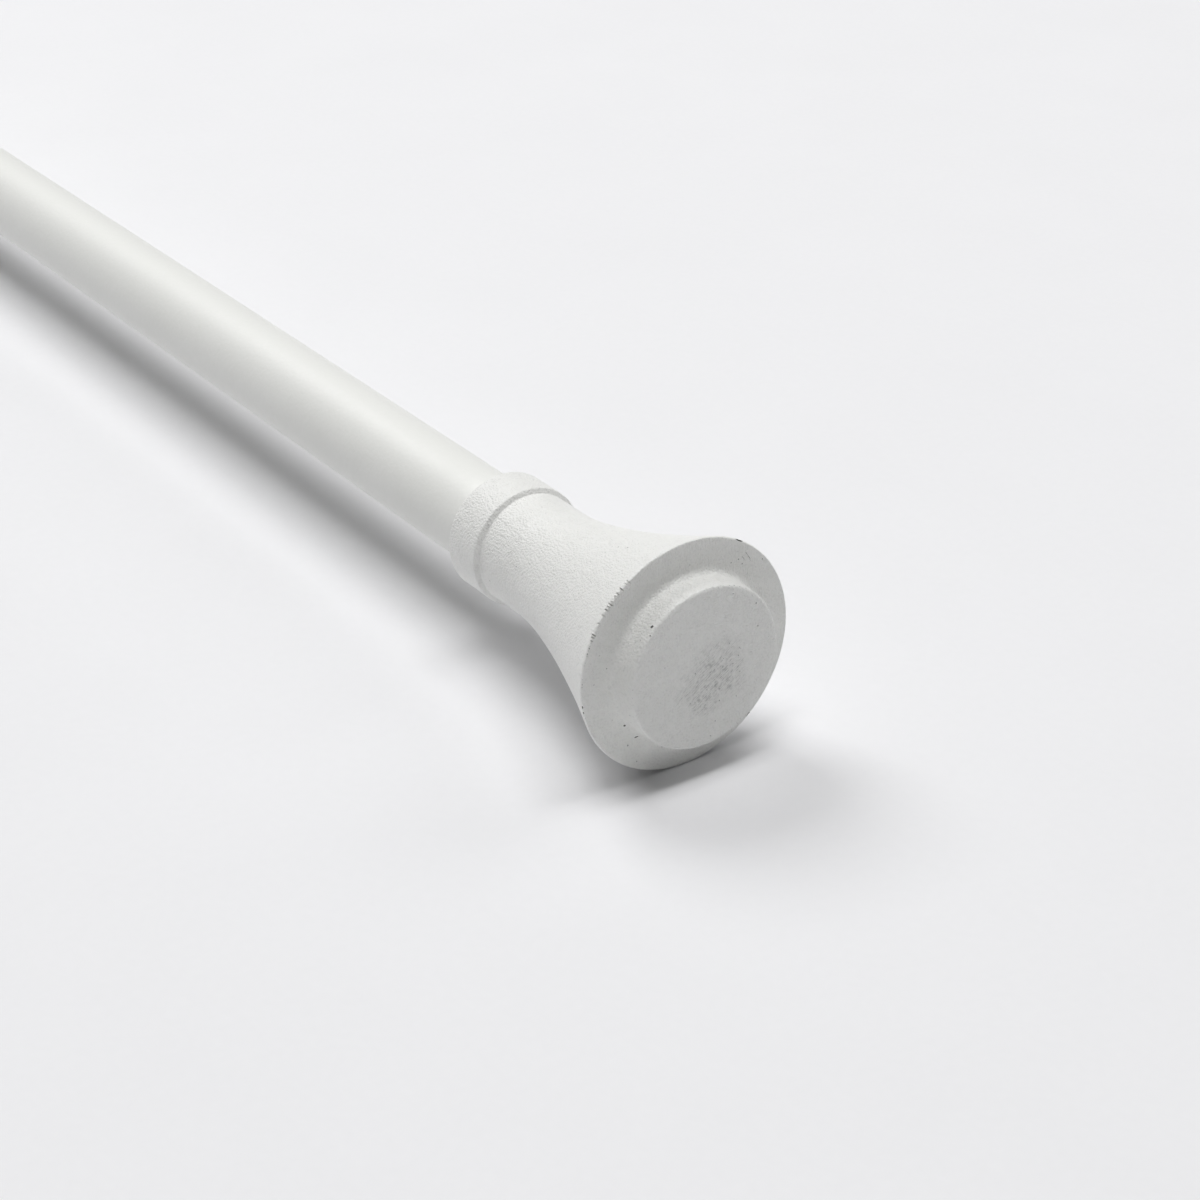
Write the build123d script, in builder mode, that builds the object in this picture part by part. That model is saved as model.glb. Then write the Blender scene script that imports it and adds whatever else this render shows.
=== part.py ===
from build123d import *
import os

os.makedirs("parts", exist_ok=True)

# Extendable curtain rod: a thin steel tube slides and turns in a thick one, and each free end
# wears a cast trumpet finial held by a grub screw in its collar.
# Millimetres. The rod's axis is X, +Z is up, and the origin is the centre of the bracket seat
# on the thick tube. The thick tube's finial points to +X, the thin tube's finial to -X.

# Span, measured from collar to collar
closed_span = 600.0
open_span = 1000.0
rest_extension = 40.0
bracket_setback = 60.0

# Tubes
outer_tube_diameter = 19.0
inner_tube_diameter = 16.0
outer_tube_wall = 0.8
inner_tube_wall = 0.8
outer_tube_end_reduction = 0.25

# Finial casting, lengths counted from the mouth of its collar
collar_radius = 12.4
collar_length = 9.1
collar_edge_round = 0.5
step_length = 0.65
neck_radius = 11.5
flare_start = 19.0
rim_distance = 61.0
rim_radius = 23.0
rim_land = 0.7
rim_edge_round = 0.35
disc_radius = 16.2
disc_height = 5.8
disc_foot_round = 1.6
disc_edge_round = 0.6
socket_depth = 35.0

# The flare is one smooth curve: how far each end of it keeps its own direction, as a share of
# its length, and how steeply it leaves the neck and meets the rim
flare_start_hold = 0.26
flare_end_hold = 0.29
flare_start_slope = 0.024
flare_end_slope = 0.42

# Grub screws in the undersides of the collars
screw_radius = 2.0
screw_setback = 4.3
screw_recess = 0.3
screw_end_chamfer = 0.35
screw_key_across_flats = 2.0
screw_key_depth = 1.2

# Plastic mouth ring that fills the gap where the thin tube enters the thick one
ring_flange_thickness = 1.5
ring_flange_round = 0.4
ring_sleeve_length = 35.0

# Plastic guide bush over the inner end of the thin tube
bush_length = 50.0
bush_end_thickness = 2.0
bush_vent_radius = 3.0
groove_setback = 10.0
groove_width = 2.4
groove_depth = 0.4
groove_ramp = 0.6
bead_width = 1.2
bead_height = 0.35

# Plastic reducing sleeve that fits the thin tube to its finial's socket
lip_thickness = 1.0
lip_overhang = 1.0
lip_round = 0.3

# Fits and gaps
running_clearance = 0.05
socket_clearance = 0.1
push_fit_clearance = 0.02
stop_clearance = 0.3
shoulder_gap = 0.1
socket_floor_gap = 1.0

# Radii that follow from the sizes above
outer_tube_radius = outer_tube_diameter / 2
outer_bore_radius = outer_tube_radius - outer_tube_wall
outer_end_radius = outer_tube_radius - outer_tube_end_reduction
inner_tube_radius = inner_tube_diameter / 2
inner_bore_radius = inner_tube_radius - inner_tube_wall
socket_radius = outer_end_radius + socket_clearance
sliding_bore_radius = inner_tube_radius + running_clearance
ring_sleeve_radius = outer_bore_radius - push_fit_clearance
bush_radius = outer_bore_radius - running_clearance
sleeve_radius = socket_radius - push_fit_clearance
lip_radius = socket_radius + lip_overhang
screw_hole_radius = screw_radius + running_clearance

# Places along the rod
outer_collar_x = bracket_setback
outer_tube_end_x = outer_collar_x + socket_depth - socket_floor_gap
closed_inner_collar_x = outer_collar_x - closed_span
inner_collar_x = closed_inner_collar_x - rest_extension
inner_tube_end_x = inner_collar_x - socket_depth + socket_floor_gap
outer_tube_mouth_x = closed_inner_collar_x + lip_thickness + stop_clearance + ring_flange_thickness
ring_inner_end_x = outer_tube_mouth_x + ring_sleeve_length
travel_out = open_span - closed_span - rest_extension
bush_mouth_x = ring_inner_end_x + travel_out + stop_clearance
inner_tube_tip_x = bush_mouth_x + bush_length
groove_x = inner_tube_tip_x - groove_setback

# Each finial stands on its own plane: local x runs out of the collar's mouth towards the disc,
# and local y is the radius, measured upwards
outer_finial_plane = Plane(origin=(outer_collar_x, 0, 0), x_dir=(1, 0, 0), z_dir=(0, -1, 0))
inner_finial_plane = Plane(origin=(inner_collar_x, 0, 0), x_dir=(-1, 0, 0), z_dir=(0, 1, 0))


def circles_at(builder, radius, axis):
    """The round edges of one radius, in order along an axis."""
    circles = builder.edges().filter_by(GeomType.CIRCLE)
    return circles.filter_by(lambda edge: abs(edge.radius - radius) < push_fit_clearance).sort_by(axis)


def finial_casting(seat):
    """One trumpet finial: collar, step, neck, flare, rim and raised disc, with a blind socket."""
    flare_end = rim_distance - rim_land
    flare_length = flare_end - flare_start
    start_reach = flare_length * flare_start_hold
    end_reach = flare_length * flare_end_hold
    along_finial = Axis(seat.origin, seat.x_dir)
    with BuildPart() as casting:
        with BuildSketch(seat):
            with BuildLine():
                Polyline(
                    (flare_start, neck_radius),
                    (collar_length + step_length, neck_radius),
                    (collar_length, collar_radius),
                    (0, collar_radius),
                    (0, socket_radius),
                    (socket_depth, socket_radius),
                    (socket_depth, 0),
                    (rim_distance + disc_height, 0),
                    (rim_distance + disc_height, disc_radius),
                    (rim_distance, disc_radius),
                    (rim_distance, rim_radius),
                    (flare_end, rim_radius),
                )
                Bezier(
                    (flare_end, rim_radius),
                    (flare_end - end_reach, rim_radius - end_reach * flare_end_slope),
                    (flare_start + start_reach, neck_radius + start_reach * flare_start_slope),
                    (flare_start, neck_radius),
                )
            make_face()
        revolve(axis=along_finial)

        fillet(circles_at(casting, rim_radius, along_finial)[-1], rim_edge_round)
        fillet(circles_at(casting, disc_radius, along_finial)[0], disc_foot_round)
        fillet(circles_at(casting, disc_radius, along_finial)[-1], disc_edge_round)
        fillet(circles_at(casting, collar_radius, along_finial), collar_edge_round)

        with BuildSketch(Plane(origin=seat.from_local_coords((screw_setback, 0, 0)), z_dir=(0, 0, -1))):
            Circle(screw_hole_radius)
        extrude(amount=collar_radius + screw_radius, mode=Mode.SUBTRACT)
    return casting


def grub_screw(seat, tip_radius):
    """A socket-headed grub screw standing in the underside of a collar, its tip near the tube."""
    length = collar_radius - screw_recess - tip_radius
    tip = seat.from_local_coords((screw_setback, -tip_radius, 0))
    with BuildPart() as screw:
        with BuildSketch(Plane(origin=tip, z_dir=(0, 0, -1))):
            Circle(screw_radius)
        extrude(amount=length)
        ends = screw.edges().filter_by(GeomType.CIRCLE).group_by(Axis.Z)
        chamfer(ends[0] + ends[-1], screw_end_chamfer)
        with BuildSketch(screw.faces().sort_by(Axis.Z)[0]):
            RegularPolygon(screw_key_across_flats / 2, 6, major_radius=False)
        extrude(amount=-screw_key_depth, mode=Mode.SUBTRACT)
    return screw


# Thick tube, its finial end drawn in a little so that the collar covers bare tube and butts
# against the shoulder
with BuildPart() as outer_tube:
    with BuildSketch(Plane.XZ):
        with BuildLine():
            Polyline(
                (outer_tube_mouth_x, outer_bore_radius),
                (outer_tube_mouth_x, outer_tube_radius),
                (outer_collar_x - shoulder_gap, outer_tube_radius),
                (outer_collar_x - shoulder_gap, outer_end_radius),
                (outer_tube_end_x, outer_end_radius),
                (outer_tube_end_x, outer_end_radius - outer_tube_wall),
                (outer_collar_x - outer_tube_wall, outer_end_radius - outer_tube_wall),
                (outer_collar_x - outer_tube_wall, outer_bore_radius),
                close=True,
            )
        make_face()
    revolve(axis=Axis.X)
outer_tube.part.label = "outer_tube"
export_step(outer_tube.part, "parts/outer_tube.step")

# Thin tube, with a shallow rolled groove near its inner end that holds the guide bush on it
with BuildPart() as inner_tube:
    half_groove = groove_width / 2
    half_floor = half_groove - groove_ramp
    with BuildSketch(Plane.XZ):
        with BuildLine():
            Polyline(
                (inner_tube_end_x, inner_bore_radius),
                (inner_tube_end_x, inner_tube_radius),
                (groove_x - half_groove, inner_tube_radius),
                (groove_x - half_floor, inner_tube_radius - groove_depth),
                (groove_x + half_floor, inner_tube_radius - groove_depth),
                (groove_x + half_groove, inner_tube_radius),
                (inner_tube_tip_x, inner_tube_radius),
                (inner_tube_tip_x, inner_bore_radius),
                (groove_x + half_groove, inner_bore_radius),
                (groove_x + half_floor, inner_bore_radius - groove_depth),
                (groove_x - half_floor, inner_bore_radius - groove_depth),
                (groove_x - half_groove, inner_bore_radius),
                close=True,
            )
        make_face()
    revolve(axis=Axis.X)
inner_tube.part.label = "inner_tube"
export_step(inner_tube.part, "parts/inner_tube.step")

# Mouth ring: a flange that covers the cut end of the thick tube and a long thin guide sleeve
with BuildPart() as mouth_ring:
    flange_x = outer_tube_mouth_x - ring_flange_thickness
    with BuildSketch(Plane.XZ):
        with BuildLine():
            Polyline(
                (flange_x, sliding_bore_radius),
                (flange_x, outer_tube_radius),
                (outer_tube_mouth_x, outer_tube_radius),
                (outer_tube_mouth_x, ring_sleeve_radius),
                (ring_inner_end_x, ring_sleeve_radius),
                (ring_inner_end_x, sliding_bore_radius),
                close=True,
            )
        make_face()
    revolve(axis=Axis.X)
    flange_circles = mouth_ring.edges().filter_by(GeomType.CIRCLE).group_by(Axis.X)[0]
    fillet(flange_circles.sort_by(SortBy.RADIUS)[-1], ring_flange_round)
mouth_ring.part.label = "mouth_ring"
export_step(mouth_ring.part, "parts/mouth_ring.step")

# Guide bush: a thin cap over the thin tube's inner end, which slides in the thick tube's bore.
# A bead inside it sits in the tube's groove, so that the tube can turn but not pull out, and
# its mouth meets the mouth ring when the rod is drawn out as far as it goes
with BuildPart() as guide_bush:
    half_bead = bead_width / 2
    bush_floor_x = inner_tube_tip_x + stop_clearance
    bush_end_x = bush_floor_x + bush_end_thickness
    with BuildSketch(Plane.XZ):
        with BuildLine():
            Polyline(
                (bush_mouth_x, sliding_bore_radius),
                (bush_mouth_x, bush_radius),
                (bush_end_x, bush_radius),
                (bush_end_x, bush_vent_radius),
                (bush_floor_x, bush_vent_radius),
                (bush_floor_x, sliding_bore_radius),
                (groove_x + half_bead, sliding_bore_radius),
                (groove_x, sliding_bore_radius - bead_height),
                (groove_x - half_bead, sliding_bore_radius),
                close=True,
            )
        make_face()
    revolve(axis=Axis.X)
guide_bush.part.label = "guide_bush"
export_step(guide_bush.part, "parts/guide_bush.step")

# The two finials are the same casting
outer_finial = finial_casting(outer_finial_plane)
outer_finial.part.label = "outer_finial"
export_step(outer_finial.part, "parts/outer_finial.step")

inner_finial = finial_casting(inner_finial_plane)
inner_finial.part.label = "inner_finial"
export_step(inner_finial.part, "parts/inner_finial.step")

# Reducing sleeve: lines the socket down to the thin tube, with a lip over the collar's mouth
# and a hole for the grub screw to pass through
with BuildPart() as reducing_sleeve:
    with BuildSketch(inner_finial_plane):
        with BuildLine():
            Polyline(
                (-lip_thickness, sliding_bore_radius),
                (-lip_thickness, lip_radius),
                (0, lip_radius),
                (0, sleeve_radius),
                (socket_depth - socket_floor_gap, sleeve_radius),
                (socket_depth - socket_floor_gap, sliding_bore_radius),
                close=True,
            )
        make_face()
    revolve(axis=Axis.X)
    lip_circles = reducing_sleeve.edges().filter_by(GeomType.CIRCLE).group_by(Axis.X)[-1]
    fillet(lip_circles.sort_by(SortBy.RADIUS)[-1], lip_round)
    with BuildSketch(Plane(origin=inner_finial_plane.from_local_coords((screw_setback, 0, 0)), z_dir=(0, 0, -1))):
        Circle(screw_hole_radius)
    extrude(amount=collar_radius, mode=Mode.SUBTRACT)
reducing_sleeve.part.label = "reducing_sleeve"
export_step(reducing_sleeve.part, "parts/reducing_sleeve.step")

# Grub screws, one bearing on the thick tube's drawn-in end and one on the thin tube
outer_finial_screw = grub_screw(outer_finial_plane, outer_end_radius + running_clearance)
outer_finial_screw.part.label = "outer_finial_screw"
export_step(outer_finial_screw.part, "parts/outer_finial_screw.step")

inner_finial_screw = grub_screw(inner_finial_plane, inner_tube_radius + running_clearance)
inner_finial_screw.part.label = "inner_finial_screw"
export_step(inner_finial_screw.part, "parts/inner_finial_screw.step")
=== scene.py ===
import math
import random

import bpy
from bpy.props import FloatProperty, FloatVectorProperty, IntProperty, PointerProperty
from mathutils import Matrix, Vector


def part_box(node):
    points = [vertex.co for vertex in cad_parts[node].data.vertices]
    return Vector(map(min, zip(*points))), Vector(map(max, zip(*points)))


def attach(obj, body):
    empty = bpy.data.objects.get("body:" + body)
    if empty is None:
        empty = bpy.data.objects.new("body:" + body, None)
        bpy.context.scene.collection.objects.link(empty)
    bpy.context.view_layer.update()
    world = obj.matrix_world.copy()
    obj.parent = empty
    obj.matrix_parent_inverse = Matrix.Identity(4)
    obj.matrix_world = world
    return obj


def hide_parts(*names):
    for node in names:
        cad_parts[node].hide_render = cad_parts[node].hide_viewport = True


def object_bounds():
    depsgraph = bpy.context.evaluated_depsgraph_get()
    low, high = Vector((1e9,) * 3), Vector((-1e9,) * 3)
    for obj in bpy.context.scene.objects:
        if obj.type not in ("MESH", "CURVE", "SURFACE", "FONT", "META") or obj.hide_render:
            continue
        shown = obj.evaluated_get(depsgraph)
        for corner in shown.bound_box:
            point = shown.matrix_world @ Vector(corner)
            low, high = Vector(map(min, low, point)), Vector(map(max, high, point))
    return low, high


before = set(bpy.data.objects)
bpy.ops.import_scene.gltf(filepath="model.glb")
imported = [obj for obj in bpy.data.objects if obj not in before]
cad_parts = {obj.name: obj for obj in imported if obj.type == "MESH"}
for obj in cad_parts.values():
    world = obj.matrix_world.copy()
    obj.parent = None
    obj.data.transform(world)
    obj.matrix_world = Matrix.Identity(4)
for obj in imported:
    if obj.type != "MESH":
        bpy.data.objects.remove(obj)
cad_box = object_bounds()

bl_info = {
    "name": "Extendable curtain rod",
    "version": (1, 0, 0),
    "blender": (4, 5, 0),
    "location": "3D View > Sidebar > Curtain rod",
    "description": "Dresses a telescoping curtain rod in its paint, plastic and steel",
    "category": "Object",
}

# The rod's axis is X, +Z is up, and the origin is the centre of the bracket seat on the thick tube.
# Sizes are in metres. A clock angle is in degrees about the axis: 0 is the top, 90 is +Y, -90 is -Y.
MM = 0.001

# How finely a cast and a plain outline are divided, and what counts as one point or as a sharp edge
CAST_SPACING = 0.45 * MM
PLAIN_SPACING = 6.0 * MM
MERGE_DISTANCE = 0.001 * MM
SHARP_ANGLE = math.radians(32)

# Places along the rod, from the construction model
outer_collar_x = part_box("outer_finial")[0].x
inner_collar_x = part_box("inner_finial")[1].x
tube_mouth_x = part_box("outer_tube")[0].x
outer_tube_end_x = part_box("outer_tube")[1].x
inner_tube_end_x, inner_tube_tip_x = (corner.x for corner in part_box("inner_tube"))
ring_flange_x, ring_sleeve_end_x = (corner.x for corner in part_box("mouth_ring"))
bush_mouth_x, bush_end_x = (corner.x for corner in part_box("guide_bush"))
sleeve_floor_x, sleeve_lip_x = (corner.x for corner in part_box("reducing_sleeve"))
outer_screw_low, outer_screw_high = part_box("outer_finial_screw")
inner_screw_low, inner_screw_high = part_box("inner_finial_screw")
floor_height = cad_box[0][2]


def length(name, description, default):
    """A size in metres that a user can set."""
    return FloatProperty(name=name, description=description, default=default, min=0, subtype="DISTANCE",
                         unit="LENGTH", precision=5)


def colour(name, description, default):
    """A colour that a user can set."""
    return FloatVectorProperty(name=name, description=description, default=default, size=3, min=0, max=1,
                               subtype="COLOR")


def watts(name, description, default):
    """A lamp's power that a user can set."""
    return FloatProperty(name=name, description=description, default=default, min=0, unit="POWER")


def lean_angle(name, description, default):
    """A lean in degrees that a user can set."""
    return FloatProperty(name=name, description=description, default=math.radians(default), subtype="ANGLE",
                         unit="ROTATION")


class FinialSizes(bpy.types.PropertyGroup):
    """The trumpet casting, with its lengths counted from the mouth of its collar."""

    collar_radius: length("Collar radius", "Outside of the collar", 12.4 * MM)
    collar_length: length("Collar length", "From the mouth to the step", 9.1 * MM)
    collar_round: length("Collar round", "Rounding of the collar's edges", 0.5 * MM)
    step_length: length("Step length", "Length of the sloping step down to the neck", 0.65 * MM)
    step_foot_round: length("Step foot round", "Rounding where the step meets the neck", 0.15 * MM)
    neck_radius: length("Neck radius", "Outside of the straight neck", 11.5 * MM)
    flare_start: length("Flare start", "Where the neck begins to open", 19.0 * MM)
    rim_distance: length("Rim distance", "From the mouth to the face of the rim", 61.0 * MM)
    rim_radius: length("Rim radius", "Outside of the rim", 23.0 * MM)
    rim_land: length("Rim land", "Width of the rim's straight edge", 0.7 * MM)
    rim_round: length("Rim round", "Rounding of the rim's edge", 0.35 * MM)
    disc_radius: length("Disc radius", "Outside of the raised disc", 16.2 * MM)
    disc_height: length("Disc height", "How far the disc stands out of the rim's face", 5.8 * MM)
    disc_foot_round: length("Disc foot round", "Hollow round at the foot of the disc", 1.6 * MM)
    disc_edge_round: length("Disc edge round", "Rounding of the disc's edge", 0.6 * MM)
    socket_radius: length("Socket radius", "Bore that takes the tube", 9.35 * MM)
    socket_depth: length("Socket depth", "Depth of the blind bore", 35.0 * MM)
    socket_round: length("Socket round", "Rounding of the bore's mouth and floor", 0.3 * MM)
    screw_setback: length("Screw setback", "From the mouth to the grub screw", 4.3 * MM)
    screw_hole_radius: length("Screw hole radius", "Hole for the grub screw", 2.05 * MM)
    unevenness: length("Unevenness", "How far the cast surface wanders under its true form", 0.07 * MM)
    unevenness_scale: length("Unevenness scale", "Size of the cast surface's slow waves", 3.2 * MM)
    around: IntProperty(name="Around", description="Faces around the casting", default=300, min=24)


class TubeSizes(bpy.types.PropertyGroup):
    """The two steel tubes."""

    outer_radius: length("Thick tube radius", "Outside of the thick tube", 9.5 * MM)
    inner_radius: length("Thin tube radius", "Outside of the thin tube", 8.0 * MM)
    wall: length("Wall", "Wall of both tubes", 0.8 * MM)
    end_reduction: length("End reduction", "How much the thick tube's socketed end is drawn in", 0.25 * MM)
    shoulder_gap: length("Shoulder gap", "From the shoulder to the collar", 0.1 * MM)
    groove_setback: length("Groove setback", "From the thin tube's inner end to its groove", 10.0 * MM)
    groove_width: length("Groove width", "Width of the rolled groove", 2.4 * MM)
    groove_depth: length("Groove depth", "Depth of the rolled groove", 0.4 * MM)
    groove_ramp: length("Groove ramp", "Length of each slope of the groove", 0.6 * MM)
    edge_round: length("Edge round", "Rounding of the cut ends", 0.12 * MM)
    around: IntProperty(name="Around", description="Faces around a tube", default=128, min=24)


class PlasticSizes(bpy.types.PropertyGroup):
    """The moulded ring, bush and sleeve."""

    sliding_radius: length("Sliding bore", "Bore that runs on the thin tube", 8.05 * MM)
    ring_sleeve_radius: length("Ring sleeve radius", "Outside of the mouth ring's sleeve", 8.68 * MM)
    ring_flange: length("Ring flange", "Thickness of the mouth ring's flange", 1.5 * MM)
    ring_flange_round: length("Flange round", "Rounding of the flange", 0.4 * MM)
    bush_radius: length("Bush radius", "Outside of the guide bush", 8.65 * MM)
    bush_end: length("Bush end", "Thickness of the guide bush's end", 2.0 * MM)
    bush_vent_radius: length("Bush vent radius", "Air hole in the guide bush's end", 3.0 * MM)
    bead_width: length("Bead width", "Width of the bead in the thin tube's groove", 1.2 * MM)
    bead_height: length("Bead height", "Height of the bead in the thin tube's groove", 0.35 * MM)
    sleeve_radius: length("Sleeve radius", "Outside of the reducing sleeve", 9.33 * MM)
    lip_radius: length("Lip radius", "Outside of the reducing sleeve's lip", 10.35 * MM)
    lip: length("Lip", "Thickness of the reducing sleeve's lip", 1.0 * MM)
    edge_round: length("Edge round", "Rounding of the moulded edges", 0.15 * MM)
    around: IntProperty(name="Around", description="Faces around a moulding", default=128, min=24)


class ScrewSizes(bpy.types.PropertyGroup):
    """The grub screws."""

    radius: length("Radius", "Over the thread's crests", 2.0 * MM)
    pitch: length("Pitch", "From one thread to the next", 0.7 * MM)
    thread_depth: length("Thread depth", "From crest to root", 0.38 * MM)
    end_chamfer: length("End chamfer", "Chamfer of both ends", 0.35 * MM)
    key_width: length("Key width", "Across the flats of the key socket", 2.0 * MM)
    key_depth: length("Key depth", "Depth of the key socket", 1.2 * MM)
    around: IntProperty(name="Around", description="Faces around a turn of thread", default=48, min=12)


class RodLook(bpy.types.PropertyGroup):
    """Colours of the rod's finishes."""

    tube_paint: colour("Tube paint", "Satin paint on the tubes", (0.893, 0.896, 0.868))
    tube_paint_shade: colour("Tube paint, thin", "The same where it is thinner", (0.873, 0.878, 0.846))
    cast_paint: colour("Casting paint", "Matt paint on the castings", (0.944, 0.945, 0.922))
    cast_paint_shade: colour("Casting paint, thin", "The same where it is thinner", (0.918, 0.92, 0.894))
    # The pore grey colours specks and scuff lines, and is also painted as shade in the grain's hollows and in
    # the pits and scratches
    pore: colour("Pore", "Bottom of a pore in the paint", (0.3, 0.3, 0.29))
    chip: colour("Chip", "Bare casting in a chip", (0.06, 0.06, 0.058))
    zinc: colour("Zinc alloy", "Bare casting in the socket", (0.42, 0.42, 0.42))
    steel: colour("Tube steel", "Bare steel in the tubes' bores", (0.36, 0.35, 0.34))
    screw: colour("Screw plating", "Zinc plating on the grub screws", (0.5, 0.5, 0.51))
    nylon: colour("Nylon", "Moulded plastic", (0.83, 0.83, 0.81))


class StageLook(bpy.types.PropertyGroup):
    """The floor, the lamps and the camera."""

    floor_size: length("Floor size", "Side of the square floor", 4.0)
    floor_colour: colour("Floor colour", "Pale paper under the rod", (0.868, 0.868, 0.882))
    box_power: watts("Box power", "Power of the overhead soft box", 53.4)
    box_lean: lean_angle("Box lean", "How far the soft box leans towards the finial's end", 3)
    box_lean_aside: lean_angle("Box lean aside", "How far the soft box leans to +Y", 1)
    box_distance: length("Box distance", "From the finial to the soft box", 3.0)
    box_length: length("Box length", "Soft box along the rod", 0.8)
    box_width: length("Box width", "Soft box across the rod", 2.43)
    lamp_power: watts("Lamp power", "Power of the low lamp over the tube", 38.0)
    lamp_lean: lean_angle("Lamp lean", "How far the low lamp leans towards the finial's end", -40)
    lamp_lean_aside: lean_angle("Lamp lean aside", "How far the low lamp leans to +Y", -5)
    lamp_distance: length("Lamp distance", "From the finial to the low lamp", 3.0)
    lamp_length: length("Lamp length", "Low lamp along the rod", 1.34)
    lamp_width: length("Lamp width", "Low lamp across the rod", 1.6)
    fill_power: watts("Fill power", "Power of the weak lamp beside the rod", 11.7)
    fill_lean: lean_angle("Fill lean", "How far the weak lamp leans to +Y", 50)
    fill_distance: length("Fill distance", "From the finial to the weak lamp", 3.0)
    fill_size: length("Fill size", "Side of the square weak lamp", 1.38)
    world_light: FloatProperty(name="World light", description="Even light from all around",
                               default=0.092, min=0)
    lens: FloatProperty(name="Lens", description="Focal length in millimetres on a 36 mm sensor",
                        default=77.28, min=1)


# Drawing and turning

def make_active(piece):
    """Leaves only this piece selected, in object mode."""
    if bpy.context.mode != "OBJECT":
        bpy.ops.object.mode_set(mode="OBJECT")
    bpy.ops.object.select_all(action="DESELECT")
    piece.select_set(True)
    bpy.context.view_layer.objects.active = piece


def edit_all(piece):
    """Opens a piece in edit mode with everything selected."""
    make_active(piece)
    bpy.ops.object.mode_set(mode="EDIT")
    bpy.ops.mesh.select_all(action="SELECT")


def leave_edit():
    """Goes back to object mode."""
    bpy.ops.object.mode_set(mode="OBJECT")


def apply_all(piece):
    """Applies a piece's modifiers in their order."""
    make_active(piece)
    for modifier in list(piece.modifiers):
        bpy.ops.object.modifier_apply(modifier=modifier.name)


def set_origin(piece):
    """Puts a piece's place and turn into its mesh."""
    make_active(piece)
    bpy.ops.object.transform_apply(location=True, rotation=True, scale=True)


def start_from(primitive, **options):
    """Adds a primitive with nothing else selected."""
    bpy.ops.object.select_all(action="DESELECT")
    primitive(**options)
    return bpy.context.active_object


def rounded(corners, arc_steps=5):
    """The outline through (x, radius, rounding) corners, with an arc where a corner has a rounding."""
    points = []
    for place, (x, radius, rounding) in enumerate(corners):
        corner = Vector((x, radius))
        if not rounding:
            points.append(corner)
            continue
        back = (Vector(corners[place - 1][:2]) - corner).normalized()
        ahead = (Vector(corners[(place + 1) % len(corners)][:2]) - corner).normalized()
        half = back.angle(ahead) / 2
        centre = corner + (back + ahead).normalized() * rounding / math.sin(half)
        first = corner + back * rounding / math.tan(half) - centre
        last = corner + ahead * rounding / math.tan(half) - centre
        turn = first.angle_signed(last)
        for step in range(arc_steps + 1):
            angle = -turn * step / arc_steps
            points.append(centre + Vector((first.x * math.cos(angle) - first.y * math.sin(angle),
                                           first.x * math.sin(angle) + first.y * math.cos(angle))))
    return points


def spaced(points, spacing):
    """The same outline with its long straight runs divided to about one spacing."""
    fine = [points[0]]
    for start, end in zip(points, points[1:]):
        parts = max(1, round((end - start).length / spacing))
        fine += [start.lerp(end, part / parts) for part in range(1, parts + 1)]
    return fine


def bezier(start, start_handle, end_handle, end, steps):
    """Points along one Bezier curve, after its start."""
    points = []
    for step in range(1, steps + 1):
        t = step / steps
        points.append(start * (1 - t) ** 3 + start_handle * 3 * (1 - t) ** 2 * t
                      + end_handle * 3 * (1 - t) * t ** 2 + end * t ** 3)
    return points


def wire(name, points):
    """Draws (x, z) points as a wire: a plane merged to one vertex, then extruded from point to point."""
    piece = start_from(bpy.ops.mesh.primitive_plane_add, size=MM)
    piece.name = piece.data.name = name
    edit_all(piece)
    bpy.ops.mesh.merge(type="CENTER")
    bpy.ops.transform.translate(value=(points[0].x, 0, points[0].y))
    for start, end in zip(points, points[1:]):
        step = end - start
        bpy.ops.mesh.extrude_vertices_move(TRANSFORM_OT_translate={"value": (step.x, 0, step.y)})
    leave_edit()
    return piece


def sweep_round(piece, axis, steps, rise=0.0, turns=1):
    """Sweeps a wire about an axis, rising a little each turn if it is a thread."""
    modifier = piece.modifiers.new("sweep", "SCREW")
    modifier.axis = axis
    modifier.screw_offset = rise
    modifier.iterations = turns
    modifier.steps = modifier.render_steps = steps
    apply_all(piece)


def turned(name, outline, around):
    """Turns an outline of (x, radius) points about the rod's axis."""
    piece = wire(name, outline)
    sweep_round(piece, "X", around)
    close_skin(piece)
    return piece


def close_skin(piece):
    """Merges a shape's seam and turns its faces outwards."""
    edit_all(piece)
    bpy.ops.mesh.remove_doubles(threshold=MERGE_DISTANCE)
    bpy.ops.mesh.normals_make_consistent(inside=False)
    leave_edit()


def turned_ring(name, corners, around, spacing):
    """A turned piece with a bore, from the corners of its section."""
    outline = rounded(corners)
    return turned(name, spaced(outline + outline[:1], spacing), around)


def smooth(piece):
    """Smooth shading, with the sharp edges kept."""
    make_active(piece)
    bpy.ops.object.shade_smooth_by_angle(angle=SHARP_ANGLE)


def combine(piece, tool, operation="DIFFERENCE"):
    """Cuts a piece with a tool, or keeps what they share, and removes the tool."""
    modifier = piece.modifiers.new(operation.lower(), "BOOLEAN")
    modifier.operation = operation
    modifier.solver = "EXACT"
    modifier.material_mode = "TRANSFER"
    modifier.object = tool
    apply_all(piece)
    bpy.data.objects.remove(tool)


def dress(piece, body, node, slot_name, *materials):
    """Gives a finished piece its materials and puts it in the place of its node."""
    set_origin(piece)
    if not piece.data.materials:
        for material in materials:
            piece.data.materials.append(material)
    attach(piece, body)
    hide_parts(node)


def paint_faces(piece, chosen, index):
    """Gives the faces whose centre is chosen another of the piece's materials."""
    for face in piece.data.polygons:
        if chosen(face.center):
            face.material_index = index


def around_axis(point):
    """A point's distance from the rod's axis."""
    return math.hypot(point.y, point.z)


# Shader node groups

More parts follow.
